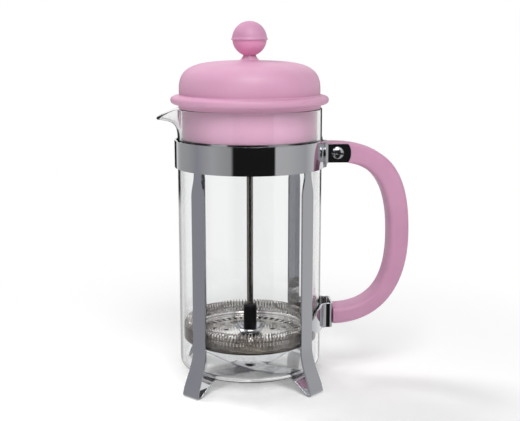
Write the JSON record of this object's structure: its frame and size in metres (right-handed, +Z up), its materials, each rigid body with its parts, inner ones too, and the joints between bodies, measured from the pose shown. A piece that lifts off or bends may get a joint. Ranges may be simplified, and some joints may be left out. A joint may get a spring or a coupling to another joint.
{
  "type": "french press",
  "caption": "French press: glass beaker in a pressed steel frame, domed lid with ball knob, D-shaped side handle, and a sliding plunger with a coil-edged mesh filter.",
  "frame": {"origin": "the point on the table under the beaker's axis", "axes": "+Z up, +X towards the handle, -X towards the spout, -Y towards the viewer"},
  "size_m": [0.1694, 0.1052, 0.2424],
  "materials": {
    "frame_steel": "bright pressed steel strip",
    "hardware_steel": "bright turned steel",
    "pink_plastic": "satin moulded plastic",
    "knob_plastic": "satin moulded plastic, a deeper pink",
    "beaker_glass": "clear heat-proof glass",
    "black_plastic": "black moulded plastic",
    "filter_steel": "bright pierced sheet steel",
    "coil_steel": "drawn steel wire",
    "mesh_steel": "fine woven wire",
    "brass": "turned brass"
  },
  "bodies": {
    "frame": {"frame_band": "frame_steel", "lower_cross_strap": "frame_steel", "upper_cross_strap": "frame_steel", "cross_rivet": "hardware_steel", "lower_bracket": "frame_steel", "handle": "pink_plastic", "clamp_bolt": "hardware_steel", "clamp_nut": "hardware_steel"},
    "beaker": {"beaker": "beaker_glass"},
    "lid": {"lid": "pink_plastic"},
    "plunger": {"knob_upper_shell": "pink_plastic", "knob_lower_shell": "knob_plastic", "knob_insert": "brass", "plunger_rod": "hardware_steel", "rod_socket": "black_plastic", "socket_washer": "hardware_steel", "spiral_plate": "filter_steel", "coil_spring": "coil_steel", "filter_mesh": "mesh_steel"},
    "filter_foot": {"cross_plate": "filter_steel", "hub_nut": "hardware_steel"}
  },
  "joints": [
    {"name": "beaker_lift", "type": "slide", "parent": "frame", "child": "beaker", "axis": [0, 0, 1], "range_m": [0, 0.18]},
    {"name": "lid_lift", "type": "slide", "parent": "beaker", "child": "lid", "axis": [0, 0, 1], "range_m": [0, 0.17]},
    {"name": "plunger_travel", "type": "slide", "parent": "lid", "child": "plunger", "axis": [0, 0, 1], "range_m": [0, 0.12]},
    {"name": "filter_foot_turn", "type": "hinge", "parent": "plunger", "child": "filter_foot", "pos_m": [0, 0, 0.0246], "axis": [0, 0, 1], "continuous": true}
  ]
}
